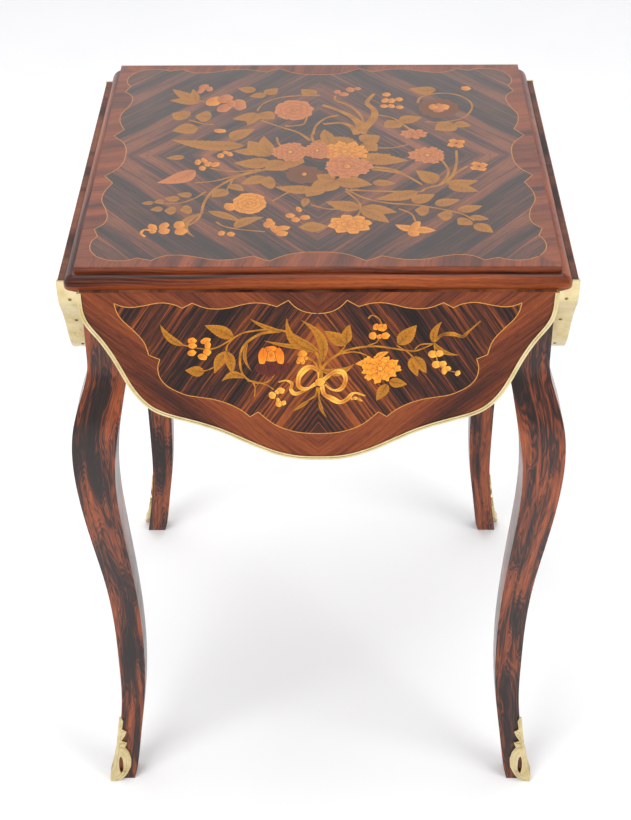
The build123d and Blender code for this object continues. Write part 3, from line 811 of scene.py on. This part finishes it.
TOP_MARQUETRY = [
    "S o 2.3 4.7 -141 -166 -131 -155 -126 -137 -124 -112 -115 -83 -97 -59 -82 -47 -60 -35 -37 -17",
    "S o 2.1 3.0 -138 -67 -116 -63 -94 -51 -74 -40",
    "S o 2.2 3.1 -122 -32 -106 -38 -87 -40 -65 -35",
    "S o 2.0 3.5 -74 116 -69 134 -53 151 -28 159 1 160",
    "S o 2.0 3.4 -14 102 -18 81 -30 76 -40 75",
    "S o 2.4 3.9 -69 91 -44 72 -24 58 -10 37",
    "S o 2.4 3.4 -4 71 -8 50 -6 34",
    "S o 1.6 2.4 -171 -116 -151 -114 -136 -104 -124 -88",
    "S o 1.9 2.7 -56 -178 -82 -173 -100 -166 -109 -156",
    "S o 2.0 2.8 -83 -155 -105 -146 -118 -132",
    "S o 1.7 2.5 -101 -83 -98 -72 -96 -60",
    "S o 1.7 2.5 -50 -110 -40 -98 -29 -85",
    "S o 1.9 2.9 -124 80 -136 82 -155 93",
    "S o 2.3 3.3 -49 46 -47 32 -44 24",
    "S o 2.0 3.0 -155 148 -136 142",
    "F o 13.1 -0.5 -123 -135 -129 -190",
    "F o 13.1 0.05 -118 -133 -82 -155",
    "F o 17.2 0.2 -89 -169 -58 -146",
    "F o 23.1 0.0 -143 144 -181 147",
    "F o 19.3 0.05 -146 145 -180 179",
    "F o 12.1 0.0 -149 145 -155 179",
    "F o 19.8 0.0 -78 173 -100 182",
    "F o 17.5 0.0 -65 163 -85 157",
    "F o 19.3 0.0 -65 163 -51 181",
    "F o 21.9 0.0 -5 160 -22 178",
    "F o 24.2 0.2 -73 109 -103 95",
    "F o 18.0 0.0 -74 111 -84 78",
    "F o 26.6 0.15 -73 109 -53 94",
    "F o 30.4 0.0 -155 100 -176 111",
    "F o 33.4 0.0 -128 101 -148 103",
    "F o 31.4 0.0 -143 73 -172 63",
    "F o 27.3 0.12 -86 24 -171 40",
    "F o 24.3 0.15 -102 40 -75 68",
    "F o 20.7 0.1 -66 11 -98 11",
    "F o 32.6 0.0 -56 -2 -82 37",
    "F o 20.1 0.1 -54 3 -64 49",
    "F o 28.3 0.1 -54 -17 -96 -19",
    "F o 33.3 0.0 -37 -17 -60 -37",
    "F o 40.3 0.0 -37 -12 -16 -18",
    "F o 13.3 0.0 -153 -4 -174 -7",
    "B o 8.5 6.6 -147 -95",
    "B o 8.5 7.1 -160 -104",
    "B o 5.8 5.6 -174 -111",
    "B o 6.7 4.7 -186 -114",
    "B o 7.1 6.4 -175 -128",
    "B o 6.6 10.1 -160 -131",
    "B o 6.6 11.0 -143 -129",
    "F o 20.2 0.0 -101 -83 -117 -101",
    "F o 14.4 0.1 -100 -72 -82 -87",
    "F o 21.7 0.0 -59 -53 -86 -71",
    "B o 8.6 16.5 -56 -67",
    "F o 22.0 0.1 -4 -84 -48 -77",
    "F o 24.4 0.0 2 -77 -13 -100",
    "F o 10.4 0.0 -13 -103 -16 -124",
    "F o 23.0 0.0 2 -167 -21 -168",
    "B y 7.7 5.4 -116 63",
    "B p 6.0 8.3 -142 185",
    "B p 4.5 7.1 -135 179",
    "B p 4.0 8.3 -145 174",
    "B y 9.9 13.9 -127 144",
    "B p 8.9 12.8 -114 151",
    "B p 8.4 12.5 -114 125",
    "B p 8.4 16.0 -96 134",
    "B p 5.4 11.5 -106 138",
    "R p 21.1 28.2 -30 119",
    "F p 27.7 0.2 -139 -37 -180 -67",
    "B y 3.7 7.1 -137 -17",
    "B y 3.3 7.1 -130 -13",
    "B y 4.6 6.0 -125 -22",
    "B y 4.1 6.0 -131 -32",
    "B y 5.1 6.5 -117 -23",
    "B y 4.2 6.2 -112 -1",
    "B y 3.7 6.2 -102 3",
    "B y 3.3 4.1 -107 7",
    "B y 4.8 8.0 -176 -168",
    "B y 3.9 4.4 -175 -177",
    "B y 5.2 8.0 -164 -165",
    "B y 6.1 7.1 -163 -176",
    "B y 6.1 8.9 -148 -163",
    "B y 6.9 7.9 -145 -177",
    "S y 2.7 3.4 -182 -188 -187 -181 -184 -173 -177 -175",
    "R y 16.4 25.1 -75 -115",
    "B y 6.2 9.2 -96 -123",
    "B r 21.0 22.6 -16 -48",
    "B y 2.7 3.9 -16 -47",
    "B y 6.5 8.0 -52 -162",
    "B y 5.2 9.7 -45 -173",
    "B y 7.4 5.3 -37 -170",
    "B y 6.5 6.1 -38 -182",
    "B y 3.5 5.4 -52 -154",
    "B y 5.3 5.4 -30 -143",
    "B y 3.1 6.4 -21 -129",
    "B y 5.7 5.4 -14 -147",
    "B y 4.8 5.4 -24 -152",
    "B y 3.9 5.3 -102 -181",
    "B y 4.3 5.3 -92 -183",
    "P p 18.7 23.7 -33 8",
    "S o 5.0 11.1 4 133 25 116 39 100 47 82 49 55",
    "S o 4.2 13.5 67 164 58 139 66 118 65 96 54 71 49 55",
    "S o 2.6 3.6 20 159 20 145 37 130 51 99 52 66",
    "S o 2.4 3.8 -6 53 -4 74 8 96 23 104",
    "S o 3.9 7.8 5 80 27 83 39 71 44 52",
    "S o 2.0 3.0 126 86 145 85 170 95 183 120 182 143 167 161 145 165 124 154 119 137",
    "S o 2.5 3.5 71 105 88 96 97 83 108 64",
    "S o 2.8 3.7 158 11 156 -23 149 -51 135 -74",
    "S o 2.7 3.7 140 -13 146 -38 142 -58 134 -74",
    "S o 2.7 3.6 168 -29 155 -43 141 -69",
    "S o 2.6 5.2 115 -73 99 -52 83 -36 63 -30",
    "S o 2.6 5.2 114 -71 92 -46 60 -35",
    "S o 3.0 3.9 137 -72 118 -82 109 -89 59 -87 35 -84",
    "S o 2.4 3.3 167 -155 155 -140 133 -129 107 -120 76 -115 50 -103 30 -82",
    "S o 2.0 2.8 40 -151 46 -129 43 -110 30 -87",
    "S o 2.0 2.8 104 -156 100 -139 87 -128",
    "S o 1.9 2.8 103 26 85 18 66 18",
    "S o 2.1 2.9 -8 -119 10 -128 25 -128",
    "F o 26.0 0.2 143 175 110 179",
    "F o 23.9 0.1 95 86 123 98",
    "F o 26.9 0.0 95 86 77 71",
    "F o 19.6 0.1 159 80 179 74",
    "F o 32.2 0.0 160 80 136 64",
    "F o 30.5 0.0 49 34 71 49",
    "F o 29.0 0.0 50 28 67 10",
    "F o 31.5 -0.1 47 -3 102 -14",
    "F o 24.4 0.0 54 -18 82 2",
    "F o 36.8 0.0 45 28 -9 34",
    "F o 18.0 0.0 12 34 6 66",
    "F o 25.3 -0.2 128 -70 109 -38",
    "F o 19.3 -0.1 143 -70 178 -63",
    "F o 21.8 0.0 144 -74 176 -89",
    "F o 23.2 0.1 109 -89 61 -106",
    "F o 16.4 0.0 60 -67 86 -70",
    "F o 22.3 0.1 103 -114 128 -96",
    "B o 7.9 12.8 112 -132",
    "F o 19.2 0.05 127 -119 155 -108",
    "B o 8.3 12.7 136 -143",
    "F o 18.0 0.0 151 -133 178 -122",
    "F o 22.1 0.0 162 -152 149 -163",
    "F o 13.5 0.0 163 -146 183 -152",
    "F o 19.1 0.0 167 -162 185 -181",
    "F o 25.5 0.0 45 -128 8 -112",
    "F o 23.7 0.0 47 -125 85 -136",
    "F o 20.9 0.0 48 -129 76 -159",
    "F o 23.0 0.0 -14 -169 11 -167",
    "F o 33.7 0.0 21 -62 -10 -89",
    "F o 30.8 0.0 19 -62 60 -73",
    "F o 23.2 0.0 17 -62 -2 -48",
    "B y 6.0 6.5 180 179",
    "B r 25.0 28.4 144 123",
    "B y 6.4 8.0 138 126",
    "B y 6.9 8.0 150 126",
    "B p 6.8 5.6 143 117",
    "B p 3.9 4.6 144 132",
    "B p 4.5 5.9 22 170",
    "B p 6.5 5.8 30 163",
    "B p 5.5 7.1 38 176",
    "B p 4.5 4.7 47 179",
    "B y 5.5 5.8 82 162",
    "B y 4.4 6.9 80 145",
    "B y 4.4 6.9 88 144",
    "B y 4.9 5.8 97 148",
    "B y 4.9 5.1 78 129",
    "B y 4.4 5.7 87 129",
    "B y 4.9 5.1 97 126",
    "R p 14.8 10.7 111 54",
    "P p 20.0 19.5 124 -1",
    "X y 11.3 12.6 159 29",
    "X y 10.6 13.0 181 -29",
    "P y 27.6 21.7 29 9",
    "P p 25.8 27.0 33 -29",
    "B y 3.7 5.0 32 -28",
    "P p 14.1 22.7 -2 11",
    "R y 21.3 17.8 34 -162",
    "F y 14.8 0.1 104 -174 82 -163",
    "F y 15.9 0.0 103 -174 125 -176",
    "B y 5.2 13.3 103 -168",
    "B y 6.5 7.0 101 -182",
]


def leaf_outline():
    half = pieces(LEAF_RUNS)
    return half + [(-a, b) for a, b in reversed(half[1:-1])]


def top_outline():
    """One eighth of the field's edge, mirrored round all four sides."""
    eighth = pieces(TOP_RUNS)
    side = [(-a, b) for a, b in reversed(eighth[1:])] + eighth
    full = []
    for c, s in ((1, 0), (0, -1), (-1, 0), (0, 1)):
        full += [(c * a - s * b, s * a + c * b) for a, b in side[:-1]]
    return full


def leaf_place(side):
    """Puts a point of a leaf's sheet into the table's frame, mm."""
    turn = Matrix.Rotation(math.radians(SIDES[side]), 3, "Z")

    def place(across, depth, lift):
        return turn @ Vector((across, -LEAF_FACE / MM - lift, TOP_Z / MM - depth))
    return place


def top_place(x, y, lift):
    return Vector((x, y, TOP_Z / MM + lift))


def lay(sheet, outline, drawing, field_wood, name, field_name, body):
    """Makes all the marquetry of one panel."""
    sheet.field(outline, field_wood, field_name, body)
    for words in drawing:
        sheet.draw(words)
    sheet.finish(name, body)


lay(Sheet(top_place), top_outline(), TOP_MARQUETRY, top_field(), "top", "top_field", "frame")
for side in SIDES:
    lay(Sheet(leaf_place(side), STRETCH[side]), leaf_outline(), LEAF_MARQUETRY,
        FIELD_X if lies_along_x(side) else FIELD_Y, side + "_leaf", side + "_leaf_field",
        side + "_leaf_body")


# ---- chasing on the foot mounts ----------------------------------------------------

# Outer line of a foot, (distance from the middle, height), and raised ribs on each wing of the
# mount, (distance in from that line, height, half width), mm.
SABOT_LINE = [(266.0, 0.0), (265.4, 8.0), (261.2, 20.0), (256.6, 44.0), (253.2, 68.0),
              (249.6, 100.0)]
RIBS = [
    [(5.5, 1.2, 0.8), (11.0, 3.0, 1.3), (16.4, 9.5, 1.6), (18.9, 21.0, 1.6), (17.6, 33.0, 1.5),
     (13.6, 42.0, 1.3), (8.6, 48.0, 1.1), (3.4, 50.5, 0.7)],
    [(6.0, 6.0, 0.6), (11.0, 9.5, 0.9), (14.3, 17.0, 1.0), (14.4, 27.0, 1.0), (11.4, 37.0, 0.9),
     (6.6, 43.0, 0.6)],
    [(1.6, 3.0, 1.1), (2.0, 24.0, 1.3), (2.2, 46.0, 1.2), (2.4, 70.0, 1.0), (2.0, 94.0, 0.6)],
    [(3.4, 54.0, 1.0), (7.0, 56.0, 1.3), (11.3, 57.0, 0.5)],
    [(3.4, 60.0, 0.8), (5.0, 66.0, 1.1), (9.0, 73.3, 0.5)],
    [(3.2, 70.0, 0.8), (5.4, 73.6, 1.0), (9.4, 74.6, 0.4)],
    [(2.8, 78.0, 0.7), (4.0, 84.0, 0.9), (4.3, 91.0, 0.4)],
]

# Flat sides of a rib's half-round, its height for its half width, how deep it is sunk into the
# mount, and how far it stays off the floor, mm.
RIB_SIDES = 6
RIB_RISE = 0.8
RIB_SUNK = 0.15
FLOOR_GAP = 0.05


def foot_line(z):
    for (xa, za), (xb, zb) in zip(SABOT_LINE, SABOT_LINE[1:]):
        if za <= z <= zb:
            return xa + (xb - xa) * (z - za) / (zb - za)
    return SABOT_LINE[-1][0]


def chase(corner, sx, sy):
    """Half-round ribs laid on both wings of one mount."""
    verts, faces = [], []
    ring = RIB_SIDES + 1
    for rib in RIBS:
        line = smooth(rib, 5)
        for flip in (False, True):
            for i, (d, z, r) in enumerate(line):
                da, za, _ = line[max(i - 1, 0)]
                db, zb, _ = line[min(i + 1, len(line) - 1)]
                length = math.hypot(db - da, zb - za)
                nd, nz = -(zb - za) / length, (db - da) / length
                for k in range(ring):
                    t = math.pi * k / RIB_SIDES
                    height = max(z + nz * r * math.cos(t), FLOOR_GAP)
                    face = foot_line(z) + r * RIB_RISE * math.sin(t) - RIB_SUNK
                    inner = foot_line(z) - d - nd * r * math.cos(t)
                    a, b = (face, inner) if flip else (inner, face)
                    verts.append((sx * a, sy * b, height))
                if i:
                    first = len(verts) - 2 * ring
                    faces += [(first + k, first + k + 1, first + k + ring + 1, first + k + ring)
                              for k in range(RIB_SIDES)]
    made = make_mesh(corner + "_sabot_chasing", verts, faces, GILT, "frame")
    for face in made.data.polygons:
        face.use_smooth = True


for corner, (sx, sy) in CORNERS.items():
    chase(corner, sx, sy)


# ---- floor, backdrop and light -----------------------------------------------------

# The floor reaches this far to the front and sides, curves up behind from SWEEP_Y with this
# radius, and ends at this height, m.
FLOOR_REACH = 9.0
SWEEP_Y = 2.4
SWEEP_RADIUS = 1.2
SWEEP_STEPS = 16
WALL_HEIGHT = 4.0
WORLD_STRENGTH = 0.70

# Where the camera stands, m, its tilt, turn and roll, radians, and its lens and sensor, mm.
CAMERA_AT = (0.0108, -1.760, TOP_Z + 0.887)
CAMERA_TILT = math.radians(54.754)
CAMERA_TURN = 0.00929
CAMERA_ROLL = -0.00672
CAMERA_LENS = 74.88
SENSOR_WIDTH = 36


def backdrop():
    """A pale floor that rises behind in one sweep."""
    line = [(-FLOOR_REACH, 0.0), (SWEEP_Y, 0.0)]
    for k in range(1, SWEEP_STEPS + 1):
        t = math.pi / 2 * k / SWEEP_STEPS
        line.append((SWEEP_Y + SWEEP_RADIUS * math.sin(t), SWEEP_RADIUS * (1 - math.cos(t))))
    line.append((SWEEP_Y + SWEEP_RADIUS, WALL_HEIGHT))
    verts = []
    for y, z in line:
        verts += [Vector((-FLOOR_REACH, y, z)), Vector((FLOOR_REACH, y, z))]
    faces = [(2 * i, 2 * i + 1, 2 * i + 3, 2 * i + 2) for i in range(len(line) - 1)]
    mesh = bpy.data.meshes.new("backdrop")
    mesh.from_pydata(verts, [], faces)
    for face in mesh.polygons:
        face.use_smooth = True
    paper = Shader("backdrop_paper")
    tone = paper.noise(paper.vector(*paper.axes()), 3.0, 3.0, 0.5)
    colour = paper.ramp(tone, (0.3, (0.875, 0.877, 0.885)), (0.7, (0.895, 0.897, 0.905)))
    mesh.materials.append(paper.set(Base_Color=colour, Roughness=0.85))
    made = bpy.data.objects.new("backdrop", mesh)
    bpy.context.scene.collection.objects.link(made)


def lamp(name, place, target, power, width, height, mirrored):
    """Area light; one that isn't mirrored leaves no white patch in the polish."""
    light = bpy.data.lights.new(name, "AREA")
    light.shape = "RECTANGLE"
    light.size = width
    light.size_y = height
    light.energy = power
    made = bpy.data.objects.new(name, light)
    bpy.context.scene.collection.objects.link(made)
    made.location = place
    aim = Vector(target) - Vector(place)
    made.rotation_euler = aim.to_track_quat("-Z", "Y").to_euler()
    made.visible_glossy = mirrored


def surroundings():
    """Even white light from all round, shown without a filmic curve."""
    world = bpy.data.worlds.new("studio")
    bpy.context.scene.world = world
    world.use_nodes = True
    background = world.node_tree.nodes["Background"]
    background.inputs[0].default_value = (1.0, 1.0, 1.0, 1.0)
    background.inputs[1].default_value = WORLD_STRENGTH
    bpy.context.scene.view_settings.view_transform = "Standard"


def camera():
    """Looks down at the top and the front leaf."""
    data = bpy.data.cameras.new("camera")
    data.lens = CAMERA_LENS
    data.sensor_width = SENSOR_WIDTH
    made = bpy.data.objects.new("camera", data)
    bpy.context.scene.collection.objects.link(made)
    turn = (Matrix.Rotation(CAMERA_TURN, 4, "Z") @ Matrix.Rotation(CAMERA_TILT, 4, "X")
            @ Matrix.Rotation(CAMERA_ROLL, 4, "Z"))
    made.matrix_world = Matrix.Translation(CAMERA_AT) @ turn
    bpy.context.scene.camera = made


backdrop()

# Name, place and what it faces, m, power, W, size, m, and whether the polish mirrors it.
lamp("key", (-1.7, -2.2, 2.6), (0, 0, 0.4), 66, 2.0, 2.0, False)
lamp("fill", (2.3, -1.6, 1.6), (0, 0, 0.4), 40, 1.6, 1.8, False)
lamp("overhead", (0, 0.6, 2.9), (0, 0, 0.5), 30, 2.4, 2.0, True)
surroundings()
camera()
